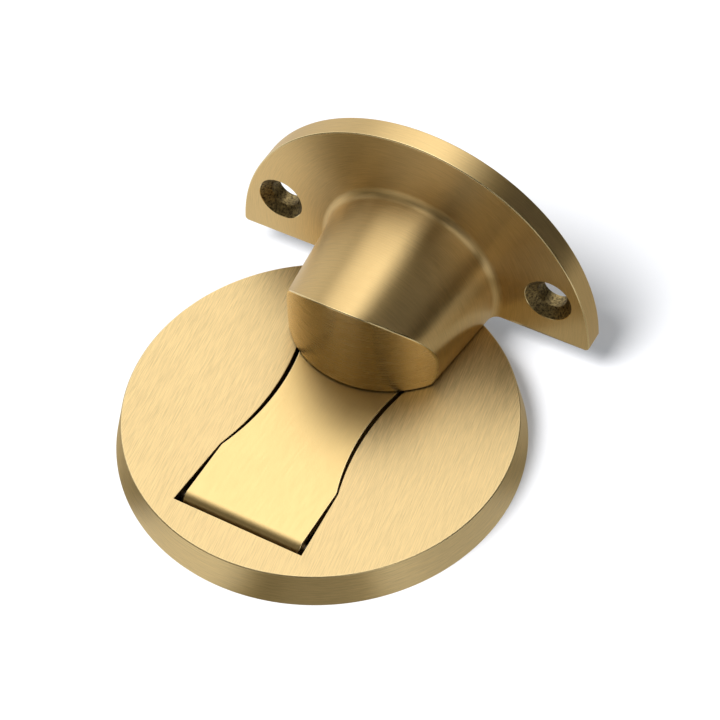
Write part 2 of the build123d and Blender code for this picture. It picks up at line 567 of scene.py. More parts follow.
class Lathe:
    """A Geometry Nodes tree that turns a straight or tapered profile round its axis."""

    SIZES = {
        "Foot Radius": ("NodeSocketFloat", "foot_r"),
        "Top Radius": ("NodeSocketFloat", "top_r"),
        "Length": ("NodeSocketFloat", "length"),
        "Top Round": ("NodeSocketFloat", "top_round"),
        "Foot Round": ("NodeSocketFloat", "foot_round"),
        "Round Steps": ("NodeSocketInt", "round_steps"),
        "Segments": ("NodeSocketInt", "segments"),
        "Place": ("NodeSocketVector", "place"),
        "Turn": ("NodeSocketVector", "turn"),
    }

    def __init__(self) -> None:
        """Build the tree."""
        self.tree = bpy.data.node_groups.new("lathe", "GeometryNodeTree")
        self.tree.is_modifier = True
        panel = self.tree.interface
        self.ids = {
            name: panel.new_socket(name, in_out="INPUT", socket_type=kind).identifier
            for name, (kind, _) in self.SIZES.items()
        }
        panel.new_socket("Finish", in_out="INPUT", socket_type="NodeSocketMaterial")
        panel.new_socket("Form", in_out="OUTPUT", socket_type="NodeSocketGeometry")
        sizes = add_node(self.tree, "NodeGroupInput").outputs
        profile = self._profile(sizes)
        turned = self._turned(profile, sizes)
        placed = add_node(
            self.tree,
            "GeometryNodeTransform",
            {"Geometry": turned, "Translation": sizes["Place"], "Rotation": sizes["Turn"]},
        ).outputs[0]
        solid = add_node(self.tree, "GeometryNodeRealizeInstances", {"Geometry": placed}).outputs[0]
        finished = add_node(
            self.tree, "GeometryNodeSetMaterial", {"Geometry": solid, "Material": sizes["Finish"]}
        ).outputs[0]
        add_node(self.tree, "NodeGroupOutput", {"Form": finished})

    def _profile(self, sizes: Any) -> Socket:
        """Draw the profile from the axis round to the axis, with its outer corners rounded.

        Args:
            sizes: The tree's inputs.

        Returns:
            The profile as a line of points in the XZ plane.
        """
        corners = [
            add_node(self.tree, "ShaderNodeCombineXYZ", {"X": r, "Z": z}).outputs[0]
            for r, z in (
                (0.0, 0.0),
                (sizes["Foot Radius"], 0.0),
                (sizes["Top Radius"], sizes["Length"]),
                (0.0, sizes["Length"]),
            )
        ]
        outline = add_node(
            self.tree,
            "GeometryNodeCurvePrimitiveQuadrilateral",
            {f"Point {i + 1}": corner for i, corner in enumerate(corners)},
            mode="POINTS",
        ).outputs[0]
        opened = add_node(
            self.tree, "GeometryNodeSetSplineCyclic", {"Geometry": outline, "Cyclic": False}
        ).outputs[0]
        index = add_node(self.tree, "GeometryNodeInputIndex").outputs[0]
        rounds: Any = 0.0
        for corner, size in ((1, sizes["Foot Round"]), (2, sizes["Top Round"])):
            here = add_node(
                self.tree, "FunctionNodeCompare", {2: index, 3: corner}, data_type="INT", operation="EQUAL"
            ).outputs[0]
            rounds = add_node(
                self.tree, "ShaderNodeMath", {0: here, 1: size, 2: rounds}, operation="MULTIPLY_ADD"
            ).outputs[0]
        rounded = add_node(
            self.tree,
            "GeometryNodeFilletCurve",
            {"Curve": opened, "Count": sizes["Round Steps"], "Radius": rounds, "Limit Radius": True},
            mode="POLY",
        ).outputs[0]
        return add_node(self.tree, "GeometryNodeCurveToMesh", {"Curve": rounded}).outputs[0]

    def _turned(self, profile: Socket, sizes: Any) -> Socket:
        """Wrap a grid round the axis, each row of it on one point of the profile.

        Args:
            profile: The profile's line of points.
            sizes: The tree's inputs.

        Returns:
            The closed turned form.
        """
        tree, kind = self.tree, "ShaderNodeMath"
        count = add_node(tree, "GeometryNodeAttributeDomainSize", {"Geometry": profile}).outputs[0]
        columns = add_node(tree, kind, {0: sizes["Segments"], 1: 1.0}, operation="ADD").outputs[0]
        sides = {"Vertices X": columns, "Vertices Y": count}
        grid = add_node(tree, "GeometryNodeMeshGrid", sides).outputs[0]
        index = add_node(tree, "GeometryNodeInputIndex").outputs[0]
        # Half a step keeps the division of whole numbers clear of its rounding limits.
        inside = add_node(tree, kind, {0: index, 1: 0.5}, operation="ADD").outputs[0]
        passed = add_node(tree, kind, {0: inside, 1: count}, operation="DIVIDE").outputs[0]
        column = add_node(tree, kind, {0: passed}, operation="FLOOR").outputs[0]
        before = add_node(tree, kind, {0: column, 1: count}, operation="MULTIPLY").outputs[0]
        row = add_node(tree, kind, {0: index, 1: before}, operation="SUBTRACT").outputs[0]
        share = add_node(tree, kind, {0: column, 1: sizes["Segments"]}, operation="DIVIDE").outputs[0]
        angle = add_node(tree, kind, {0: share, 1: math.tau}, operation="MULTIPLY").outputs[0]
        position = add_node(tree, "GeometryNodeInputPosition").outputs[0]
        point = add_node(
            tree,
            "GeometryNodeSampleIndex",
            {"Geometry": profile, "Value": position, "Index": row},
            data_type="FLOAT_VECTOR",
            domain="POINT",
        ).outputs[0]
        apart = add_node(tree, "ShaderNodeSeparateXYZ", {0: point}).outputs
        ways = {}
        for axis, operation in (("X", "COSINE"), ("Y", "SINE")):
            way = add_node(tree, kind, {0: angle}, operation=operation).outputs[0]
            ways[axis] = add_node(tree, kind, {0: apart["X"], 1: way}, operation="MULTIPLY").outputs[0]
        place = add_node(tree, "ShaderNodeCombineXYZ", {**ways, "Z": apart["Z"]}).outputs[0]
        moved = {"Geometry": grid, "Position": place}
        wrapped = add_node(tree, "GeometryNodeSetPosition", moved).outputs[0]
        welded = {"Geometry": wrapped, "Distance": NEAR}
        return add_node(tree, "GeometryNodeMergeByDistance", welded).outputs[0]

    def turn(self, name: str, sizes: Turning) -> bpy.types.Object:
        """Turn one form.

        Args:
            name: The form's name.
            sizes: Its sizes and place.

        Returns:
            An object with a plain mesh.
        """
        holder = add_object(f"{name}_blank", bpy.data.meshes.new(f"{name}_blank"))
        modifier = holder.modifiers.new("lathe", "NODES")
        modifier.node_group = self.tree
        for key, (_, attribute) in self.SIZES.items():
            modifier[self.ids[key]] = getattr(sizes, attribute)
        mesh = applied_mesh(holder, name)
        bpy.data.objects.remove(holder)
        return add_object(name, mesh)


def applied_mesh(holder: bpy.types.Object, name: str) -> bpy.types.Mesh:
    """Turn an object's modifiers into a plain mesh.

    Args:
        holder: The object with live modifiers.
        name: The new mesh's name.

    Returns:
        The evaluated mesh.
    """
    bpy.context.view_layer.update()
    seen = holder.evaluated_get(bpy.context.evaluated_depsgraph_get())
    mesh = bpy.data.meshes.new_from_object(seen)
    mesh.name = name
    return mesh


def carve(form: bpy.types.Object, cutters: list[bpy.types.Object]) -> None:
    """Cut forms out of another and drop them.

    Args:
        form: The object that is cut.
        cutters: The objects to cut with.
    """
    for cutter in cutters:
        cut = form.modifiers.new(cutter.name, "BOOLEAN")
        cut.object = cutter
        cut.operation = "DIFFERENCE"
        cut.solver = "EXACT"
    mesh = applied_mesh(form, form.data.name)
    form.modifiers.clear()
    form.data = mesh
    for cutter in cutters:
        bpy.data.objects.remove(cutter)


@dataclass(frozen=True)
class Dress:
    """What a finished piece stands for, rides on and wears."""

    node: str
    body: str
    slot: str
    finishes: tuple[BrushedBrass | Grainy, ...]
    sharp_deg: float = 32.0

    def finish(self, piece: bpy.types.Object) -> bpy.types.Object:
        """Smooth a piece, give it its finishes and let it stand for its solid.

        Args:
            piece: The piece, whose faces already know their finish's number.

        Returns:
            The same piece.
        """
        numbers = [face.material_index for face in piece.data.polygons]
        piece.data.materials.clear()
        for finish in self.finishes:
            piece.data.materials.append(finish.material())
        piece.data.polygons.foreach_set("material_index", numbers)
        piece.data.polygons.foreach_set("use_smooth", [True] * len(piece.data.polygons))
        piece.data.set_sharp_from_angle(angle=math.radians(self.sharp_deg))
        weigh = piece.modifiers.new("weigh", "WEIGHTED_NORMAL")
        weigh.keep_sharp = True
        mesh = applied_mesh(piece, f"{self.node}_look")
        piece.modifiers.clear()
        piece.data = mesh
        piece.name = f"{self.node}_look"
        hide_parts(self.node)
        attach(piece, self.body)
        LOG.info("%s: %d faces, stands for %s on %s", piece.name, len(mesh.polygons), self.node, self.body)
        return piece


@dataclass
class FloorPiece:
    """The turned floor disc with its pocket, and the pin in its groove."""

    lathe: Lathe
    edge_round: float = 0.22 * MM
    side_draft: float = 0.95 * MM
    pocket_floor_z: float = 2.9 * MM
    pocket_half_w: float = 8.23 * MM
    pocket_end_y: float = -18.5 * MM
    pocket_lip: float = 0.07 * MM
    lip_steps: int = 4
    well_back_y: float = -14.58 * MM
    groove_r: float = 0.71 * MM
    groove_end_gap: float = 0.1 * MM
    recess_r: float = 20.2 * MM
    recess_h: float = 1.5 * MM
    cut_over: float = 1.0 * MM
    pin_chamfer: float = 0.15 * MM
    outline: Waisted = Waisted(
        shoulder=(7.7 * MM, -9.45 * MM),
        waist=(6.4 * MM, 0.3 * MM),
        free=(8.65 * MM, 11.4 * MM),
        tip_y=18.4 * MM,
        start=((8.23 * MM, -18.5 * MM),),
    )

    TOP, SIDE, MILLED, EDGE = range(4)

    def build(self) -> None:
        """Build the disc and the pin."""
        self._disc()
        self._pin()

    def _pocket_cutter(self, top_z: float) -> bpy.types.Object:
        """Make the form of the pocket, flared at its mouth so that the lip is broken.

        Args:
            top_z: The height of the disc's top.

        Returns:
            The cutter.
        """
        loop = self.outline.loop()
        lip = self.pocket_lip
        flare = [(-out, top_z - drop) for drop, out in quarter_round(lip, self.lip_steps)]
        levels = [(0.0, self.pocket_floor_z), *flare, (-lip, top_z + lip)]
        return stacked("pocket_cutter", [[Vector((x, y, z)) for x, y in inset(loop, d)] for d, z in levels])

    def _box_cutter(self, half_w: float, y: Flat, z: Flat) -> bpy.types.Object:
        """Make a block with its middle on X = 0, from its ranges in Y and Z."""
        loop = [(-half_w, y[0]), (half_w, y[0]), (half_w, y[1]), (-half_w, y[1])]
        return stacked("box_cutter", [[Vector((a, b, level)) for a, b in loop] for level in z])

    def _disc(self) -> None:
        """Turn the disc and cut its pocket, hinge well, pin groove and recess."""
        low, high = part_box("floor_disc")
        pin_low, pin_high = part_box("hinge_pin")
        radius, top_z = high[0], high[2]
        pin_y, pin_z = (pin_low[1] + pin_high[1]) / 2, (pin_low[2] + pin_high[2]) / 2
        groove_half = pin_high[0] + self.groove_end_gap
        over = self.cut_over
        disc = self.lathe.turn(
            "floor_disc_look",
            Turning(radius, radius - self.side_draft, top_z, self.edge_round),
        )
        recess_r = self.recess_r
        recess = self.lathe.turn(
            "recess_cutter",
            Turning(recess_r, recess_r, self.recess_h + over, segments=160, place=(0.0, 0.0, -over)),
        )
        groove = self.lathe.turn(
            "groove_cutter",
            Turning(
                self.groove_r,
                self.groove_r,
                2 * groove_half,
                segments=48,
                place=(-groove_half, pin_y, pin_z),
                turn=(0.0, math.pi / 2, 0.0),
            ),
        )
        low_z = self.recess_h - over / 2
        slot = self._box_cutter(groove_half, (pin_y - self.groove_r, pin_y + self.groove_r), (low_z, pin_z))
        well = self._box_cutter(
            self.pocket_half_w, (self.pocket_end_y, self.well_back_y), (low_z, self.pocket_floor_z + over / 2)
        )
        carve(disc, [self._pocket_cutter(top_z), well, recess, groove, slot])
        for face in disc.data.polygons:
            centre, up = face.center, face.normal.z
            outside = math.hypot(centre.x, centre.y) > radius - self.side_draft - 2 * self.edge_round
            if up > LEVEL_NORMAL and centre.z > top_z - NEAR:
                face.material_index = self.TOP
            elif ROUND_NORMAL < up < LEVEL_NORMAL and centre.z > top_z - self.edge_round:
                face.material_index = self.EDGE
            else:
                # Faces inside the disc get the dark brown of painted shade.
                face.material_index = self.SIDE if outside else self.MILLED
        finishes = (
            # Brushed straight over the top on a belt: long fine strokes and a soft, wide sheen.
            BrushedBrass(
                "brass_brushed_top",
                "DCC28D",
                Stroke.ACROSS_X,
                roughness=0.46,
                anisotropy=0.35,
                stroke_tone=0.42,
                turn_deg=9.0,
            ),
            # Turned on a lathe: strokes run round the side, so its highlights stand upright.
            BrushedBrass("brass_turned_side", "E8CD94", Stroke.ACROSS_Z, stroke_tone=0.3),
            # Milled, and painted dark with shade: a dull brown that stands for the shade in the pocket and
            # the gaps, so that they look deep.
            Grainy("brass_pocket_painted_shade", "3A2E18", "5A4726", 0.5),
            # Deburred by hand: a thin, soft line of light along the edge.
            Grainy("brass_deburred_edge", "E8CD94", "F2DCA8", 0.42, depth=1e-6),
        )
        Dress("floor_disc", "floor_unit", "disc_brass", finishes).finish(disc)

    def _pin(self) -> None:
        """Turn the hinge pin."""
        low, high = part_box("hinge_pin")
        radius = (high[2] - low[2]) / 2
        pin = self.lathe.turn(
            "hinge_pin_look",
            Turning(
                radius,
                radius,
                high[0] - low[0],
                self.pin_chamfer,
                self.pin_chamfer,
                round_steps=2,
                segments=64,
                place=(low[0], (low[1] + high[1]) / 2, (low[2] + high[2]) / 2),
                turn=(0.0, math.pi / 2, 0.0),
            ),
        )
        # Drawn steel wire: smooth, grey and glossy.
        wire = Grainy("steel_wire", "8E887E", "B4AEA4", 0.3)
        Dress("hinge_pin", "floor_unit", "pin_steel", (wire,)).finish(pin)


@dataclass
class Tongue:
    """A folded strip: a flat blank with broken edges, whose end is curled round the pin."""

    thickness: float = 1.0 * MM
    edge_break: float = 0.12 * MM
    eye_bore_r: float = 0.71 * MM
    curl_end_deg: float = -25.0
    curl_steps: int = 44
    round_steps: int = 4
    outline: Waisted = Waisted(
        shoulder=(7.55 * MM, -9.45 * MM),
        waist=(5.95 * MM, 0.3 * MM),
        free=(8.2 * MM, 11.4 * MM),
        tip_y=18.0 * MM,
        start=((7.55 * MM, -16.64 * MM),),
    )
    eye_y: float = field(init=False)
    eye_z: float = field(init=False)
    curl_r: float = field(init=False)

    def __post_init__(self) -> None:
        """Work out the eye's place from the solid's box."""
        low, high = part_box("tongue")
        self.eye_z = high[2] - self.thickness - self.eye_bore_r
        self.eye_y = low[1] + self.thickness + self.eye_bore_r
        self.curl_r = self.eye_bore_r + self.thickness / 2

    def build(self) -> None:
        """Cut the blank, curl it and dress it."""
        shell = Shell()
        loops = [[self._bent(x, y, h) for x, y in loop] for loop, h in self._layers()]
        shell.bands(loops[: self.round_steps + 2], 0, closed=True)
        shell.bands(loops[self.round_steps + 1 :], 1, closed=True)
        for loop in (loops[0], loops[-1]):
            self._cap(shell, loop)
        piece = add_object("tongue_look", shell.mesh("tongue_look"))
        # Brass plated steel, brushed lightly before plating: nearly even, with a wide soft gloss.
        plated = BrushedBrass(
            "brass_plated_tongue",
            "E9CB8C",
            Stroke.ACROSS_X,
            roughness=0.43,
            anisotropy=0.3,
            stroke_tone=0.06,
            cloud_tone=0.05,
        )
        Dress("tongue", "tongue", "tongue_plated_steel", (plated, EDGE_FINISH)).finish(piece)

    def _layers(self) -> list[tuple[list[Flat], float]]:
        """Stack the blank's outlines through its thickness, with both edges broken.

        Returns:
            Outlines with their heights above the blank's inner face.
        """
        sweep = math.radians(270.0 + self.curl_end_deg)
        length = sweep * self.curl_r
        half_w = self.outline.start[0][0]
        curl = [(half_w, self.eye_y - length * (1 - i / self.curl_steps)) for i in range(self.curl_steps)]
        loop = both_sides(curl + self.outline.right_side(), self.outline.tip_y)
        rounds = quarter_round(self.edge_break, self.round_steps)
        levels = rounds + [(d, self.thickness - h) for d, h in reversed(rounds)]
        return [(inset(loop, d), h) for d, h in levels]

    def _bent(self, x: float, y: float, height: float) -> Vector:
        """Curl a place of the flat blank round the pin.

        Args:
            x: Its place across the blank.
            y: Its place along the blank, which is true up to the eye.
            height: How far it is above the blank's inner face.

        Returns:
            Its place on the finished tongue.
        """
        if y >= self.eye_y:
            return Vector((x, y, self.eye_z + self.eye_bore_r + height))
        turn = math.pi / 2 + (self.eye_y - y) / self.curl_r
        radius = self.eye_bore_r + height
        return Vector((x, self.eye_y + radius * math.cos(turn), self.eye_z + radius * math.sin(turn)))

    def _cap(self, shell: Shell, loop: list[Vector]) -> None:
        """Close one face of the strip with quads from side to side.

        Args:
            shell: The shell that gets the faces.
            loop: The face's outline, with its tip in the middle of the list.
        """
        half = len(loop) // 2
        right, left = loop[: half + 1], [loop[-1 - i] for i in range(half)] + [loop[half]]
        shell.bands([right, left], 0)


@dataclass
class DoorPiece:
    """The door bracket, one casting: a half disc plate and a tapered boss trimmed by an upright nose."""

    plate_t: float = 3.0 * MM
    plate_edge_round: float = 0.15 * MM
    plate_corner_round: float = 0.5 * MM
    plate_back_round: float = 0.35 * MM
    boss_root_r: float = 11.35 * MM
    boss_taper: float = 0.10
    boss_lift: float = 2.8 * MM
    root_fillet: float = 1.2 * MM
    nose_r: float = 12.3 * MM
    nose_draft: float = 0.01
    nose_edge: float = 0.16 * MM
    screw_x: float = 18.0 * MM
    screw_height: float = 6.0 * MM
    screw_hole_r: float = 1.9 * MM
    screw_head_r: float = 2.95 * MM
    mouth_break: float = 0.06 * MM
    cast_depth: float = 0.035 * MM
    bore_r: float = 4.1 * MM
    bore_height: float = 5.2 * MM
    bore_start_y: float = 8.2 * MM
    columns: int = 120
    corner_steps: int = 10
    edge_steps: int = 6
    fillet_steps: int = 10
    taper_steps: int = 14
    crease_steps: int = 5
    nose_steps: int = 12
    halvings: int = 40
    hole_steps: int = 7
    hole_sides: int = 96
    cast_lump: float = 0.55 * MM
    colour: str = "E2C388"
    shell: Shell = field(default_factory=Shell)
    foot_z: float = field(init=False)
    nose_y: float = field(init=False)
    back_y: float = field(init=False)
    front_y: float = field(init=False)
    plate_r: float = field(init=False)
    centre_z: float = field(init=False)
    axis_z: float = field(init=False)
    nose_axis_y: float = field(init=False)

    FACE, RIM, BOSS, NOSE, CAST, HIDDEN, EDGE, FOOT = range(8)

    def __post_init__(self) -> None:
        """Work out the plate's and the boss's places from the solid's box."""
        low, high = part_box("door_bracket")
        self.foot_z, self.nose_y = low[2], low[1]
        self.back_y = high[1]
        self.front_y = self.back_y - self.plate_t
        rise = high[2] - self.foot_z
        self.plate_r = (high[0] ** 2 + rise**2) / (2 * rise)
        self.centre_z = high[2] - self.plate_r
        self.axis_z = self.foot_z + self.boss_lift
        self.nose_axis_y = self.nose_y + self.nose_r

    def build(self) -> None:
        """Build the bracket's surfaces and dress it."""
        rim = self._plate_rim()
        columns = self._boss()
        holes = [self._screw_hole(side * self.screw_x) for side in (1, -1)]
        front = rim[0] + list(reversed(columns[0]))
        self.shell.flat(front, [hole[0] for hole in holes], self.FACE)
        self.shell.flat(rim[-1], [hole[-1] for hole in holes] + [self._magnet_bore()], self.HIDDEN)
        right, left = ([row[i] for row in columns] for i in (0, -1))
        sides = [[row[i] for row in rim] for i in (0, -1)]
        foot = sides[0] + list(reversed(sides[1])) + left + list(reversed(right[:-1]))
        # The foot gets the near-black brown of painted shade.
        self.shell.flat(foot, [], self.FOOT)
        piece = add_object("door_bracket_look", self.shell.mesh("door_bracket_look"))
        Dress("door_bracket", "door_piece", "bracket_brass", self._finishes()).finish(piece)

    def _finishes(self) -> tuple[BrushedBrass | Grainy, ...]:
        """List the finishes in the order of their numbers."""
        boss = (0.0, 0.0, self.axis_z)
        return (
            # The face is brushed round the boss, so its highlights reach out from the boss like spokes.
            BrushedBrass("brass_turned_face", self.colour, Stroke.ROUND_BOSS, boss_centre=boss),
            # The rim and the boss are turned: strokes run round them, and highlights along them.
            BrushedBrass("brass_turned_rim", self.colour, Stroke.ACROSS_Y),
            BrushedBrass("brass_turned_boss", self.colour, Stroke.ACROSS_Y),
            # The nose is brushed level and a little finer: upright bands of light and dark.
            BrushedBrass("brass_brushed_nose", self.colour, Stroke.ACROSS_Z, roughness=0.25, anisotropy=0.96),
            # The countersinks keep the raw casting's skin: dull, dark and gritty.
            Grainy("brass_raw_cast", "4A3E29", "AD9868", 0.5, grain=0.3 * MM, depth=0.02 * MM),
            # The back is milled flat: an even, matt brown gold.
            Grainy("brass_milled_back", "8E7445", "B89A60", 0.4),
            EDGE_FINISH,
            # The foot is milled and painted dark as shade where it lies over the disc: the painted shade
            # makes a dark line there.
            Grainy("brass_foot_painted_shade", "2A2113", "3E301A", 0.55),
        )

    def _plate_outline(self) -> list[tuple[Flat, Flat, float]]:
        """Trace the plate's round outline from its right foot corner to its left one.

        Returns:
            For each place: the place in X and Z, the way inwards, and the share of the edge's round.
        """
        r, small = self.plate_r, self.plate_corner_round
        corner_z = self.foot_z + small
        corner_x = math.sqrt((r - small) ** 2 - (corner_z - self.centre_z) ** 2)
        start = math.atan2(corner_z - self.centre_z, corner_x)
        steps = self.corner_steps
        line = []
        for i in range(steps):
            a = -math.pi / 2 + (start + math.pi / 2) * i / steps
            place = (corner_x + small * math.cos(a), corner_z + small * math.sin(a))
            line.append((place, (-math.cos(a), -math.sin(a)), i / steps))
        for i in range(self.columns + 1):
            a = start + (math.pi - 2 * start) * i / self.columns
            place = (r * math.cos(a), self.centre_z + r * math.sin(a))
            line.append((place, (-math.cos(a), -math.sin(a)), 1.0))
        line += [((-p[0], p[1]), (-n[0], n[1]), share) for p, n, share in reversed(line[:steps])]
        return line

    def _plate_rim(self) -> list[list[Vector]]:
        """Build the plate's rim with its front and back edges rounded.

        Returns:
            The rim's rows from the front face to the back one.
        """
        outline = self._plate_outline()
        rows = []
        edges = ((self.plate_edge_round, 1, 0.0), (self.plate_back_round, -1, self.plate_t))
        for radius, way, depth in edges:
            for inward, shift in quarter_round(radius, self.edge_steps)[::way]:
                rows.append([self._rim_point(spot, inward, way * shift, depth) for spot in outline])
        self.shell.bands(rows[: self.edge_steps + 1], self.EDGE)
        self.shell.bands(rows[self.edge_steps :], self.RIM)
        return rows

    def _rim_point(self, spot: tuple[Flat, Flat, float], inward: float, shift: float, depth: float) -> Vector:
        """Place a point on the rim.

        Args:
            spot: A place of the plate's outline, the way inwards and the share of the edge's round there.
            inward: How far inside the outline.
            shift: How far behind the depth.
            depth: How far behind the plate's face.

        Returns:
            The point.
        """
        (x, z), (nx, nz), share = spot
        across, y = inward * share, self.front_y + depth + shift * share
        return Vector((x + nx * across, y, z + nz * across))

    def _boss_point(self, share: float, reach: float) -> Vector:
        """Place a point on the boss's taper.

        Args:
            share: How far round the boss, from the right of its foot over the top to the left.
            reach: How far in front of the plate.

        Returns:
            The point.
        """
        return self._round_point(share, self.boss_root_r - self.boss_taper * reach, reach)

    def _round_point(self, share: float, radius: float, reach: float) -> Vector:
        """Place a point at a radius round the boss's axis, above its flat foot."""
        dip = math.asin(self.boss_lift / radius)
        a = -dip + (math.pi + 2 * dip) * share
        return Vector((radius * math.cos(a), self.front_y - reach, self.axis_z + radius * math.sin(a)))

    def _nose_gap(self, p: Vector) -> float:
        """Say how far a point lies inside the nose's drafted round."""
        radius = self.nose_r - self.nose_draft * (p.z - self.foot_z)
        return radius - math.hypot(p.x, p.y - self.nose_axis_y)

    def _nose_point(self, x: float, z: float) -> Vector:
        """Place a point on the nose's face from its X and Z."""
        radius = self.nose_r - self.nose_draft * (z - self.foot_z)
        return Vector((x, self.nose_axis_y - math.sqrt(radius**2 - x**2), z))

    def _crease_reach(self, share: float) -> float:
        """Find where the boss's taper meets the nose, by halving."""
        near, far = 0.0, self.front_y - self.nose_y + 1.0 * MM
        for _ in range(self.halvings):
            middle = (near + far) / 2
            p = self._boss_point(share, middle)
            inside = p.y > self.nose_axis_y or self._nose_gap(p) > 0
            near, far = (middle, far) if inside else (near, middle)
        return (near + far) / 2

    def _boss(self) -> list[list[Vector]]:
        """Build the boss from its root fillet over the taper and the soft crease to the nose's face.

        Returns:
            Rows round the boss from the plate to the middle of the nose's foot.
        """
        shares = [i / self.columns for i in range(self.columns + 1)]
        lean = math.hypot(1.0, self.boss_taper)
        fillet = self.root_fillet
        centre_r = self.boss_root_r - self.boss_taper * fillet + fillet * lean
        last = math.pi + math.atan(self.boss_taper)
        fillet_rows = []
        for i in range(self.fillet_steps + 1):
            a = 1.5 * math.pi + (last - 1.5 * math.pi) * i / self.fillet_steps
            radius, reach = centre_r + fillet * math.cos(a), fillet * (1 + math.sin(a))
            fillet_rows.append([self._round_point(s, radius, reach) for s in shares])
        start = fillet * (1 + math.sin(last))
        ends = [self._crease_reach(s) for s in shares]
        taper_rows = []
        for i in range(1, self.taper_steps + 1):
            reaches = [start + (e - self.nose_edge - start) * i / self.taper_steps for e in ends]
            taper_rows.append([self._boss_point(s, reach) for s, reach in zip(shares, reaches)])
        corners = [self._boss_point(s, e) for s, e in zip(shares, ends)]
        hub = Vector((0.0, 0.0, self.foot_z))
        crease_rows, nose_rows = [[] for _ in range(self.crease_steps)], [[] for _ in range(self.nose_steps)]
        for s, e, corner in zip(shares, ends, corners):
            before = self._boss_point(s, e - self.nose_edge)
            span = math.hypot(corner.x - hub.x, corner.z - hub.z)
            k = self.nose_edge / max(span, self.nose_edge)
            after = self._nose_point(corner.x * (1 - k), corner.z + (hub.z - corner.z) * k)
            for i, row in enumerate(crease_rows, 1):
                t = i / len(crease_rows)
                row.append((1 - t) ** 2 * before + 2 * t * (1 - t) * corner + t**2 * after)
            for i, row in enumerate(nose_rows, 1):
                t = k + (1 - k) * i / len(nose_rows)
                row.append(self._nose_point(corner.x * (1 - t), corner.z + (hub.z - corner.z) * t))
        self.shell.bands(fillet_rows + taper_rows, self.BOSS)
        self.shell.bands([taper_rows[-1], *crease_rows], self.EDGE)
        self.shell.bands([crease_rows[-1], *nose_rows], self.NOSE)
        return fillet_rows + taper_rows + crease_rows + nose_rows

    def _screw_hole(self, x: float) -> list[list[Vector]]:
        """Build a countersunk hole, whose walls keep the casting's rough skin.

        Args:
            x: Where the hole is.

        Returns:
            The hole's rings from the plate's face to its back.
        """
        z = self.foot_z + self.screw_height
        sink = self.screw_head_r - self.screw_hole_r
        brk = self.mouth_break
        profile = [(self.screw_head_r + brk, 0.0, 0.0), (self.screw_head_r, brk, 0.0)]
        steps = self.hole_steps
        for i in range(1, steps + 1):
            profile.append((self.screw_head_r - sink * i / steps, brk + sink * i / steps, 1.0))
        deep = self.plate_t - sink - brk
        profile += [(self.screw_hole_r, brk + sink + deep * i / steps, 1.0) for i in range(1, steps)]
        profile.append((self.screw_hole_r, self.plate_t, 0.0))
        rings = []
        for radius, depth, rough in profile:
            ring = []
            for a in full_turn(self.hole_sides):
                way = Vector((math.cos(a), 0.0, math.sin(a)))
                place = Vector((x, self.front_y + depth, z)) + way * radius
                lump = noise.noise(place / self.cast_lump) * self.cast_depth * rough
                ring.append(place + way * lump)
            rings.append(ring)
        self.shell.bands(rings[:2], self.EDGE, closed=True)
        self.shell.bands(rings[1:], self.CAST, closed=True)
        return rings

    def _magnet_bore(self) -> list[Vector]:
        """Build the blind bore for the magnet.

        Returns:
            The bore's mouth in the plate's back.
        """
        z = self.foot_z + self.bore_height
        turns = full_turn(self.hole_sides)
        rings = [
            [Vector((self.bore_r * math.cos(a), y, z + self.bore_r * math.sin(a))) for a in turns]
            for y in (self.back_y, self.bore_start_y)
        ]
        self.shell.bands(rings, self.HIDDEN, closed=True)
        self.shell.flat(rings[1], [], self.HIDDEN)
        return rings[0]


@dataclass(frozen=True)
class SoftWindow:
    """A soft bright field of the studio, in degrees round and above the object."""

    azimuth: float
    elevation: float
    half_width: float
    half_height: float
    soft_turn: float
    soft_rise: float
    level: float

    def share(self, azimuth: float, elevation: float) -> float:
        """Say how much of the window's light shows in a direction.

        Args:
            azimuth: Degrees from +Y towards +X.
            elevation: Degrees above the horizon.

        Returns:
            A share from none to one.
        """
        turn = abs((azimuth - self.azimuth + 180) % 360 - 180)
        across = (turn - self.half_width) / self.soft_turn
        up = (abs(elevation - self.elevation) - self.half_height) / self.soft_rise
        edge = math.hypot(max(across, 0.0), max(up, 0.0))
        return 0.5 + 0.5 * math.cos(math.pi * min(edge, 1.0))


def brightest(windows: tuple[SoftWindow, ...], dark: float, azimuth: float, elevation: float) -> float:
    """Say how bright a set of windows is in a direction.

    Args:
        windows: The windows.
        dark: The brightness between them.
        azimuth: Degrees from +Y towards +X.
        elevation: Degrees above the horizon.

    Returns:
        The brightness of the window that is brightest there.
    """
    return max([dark] + [dark + (w.level - dark) * w.share(azimuth, elevation) for w in windows])


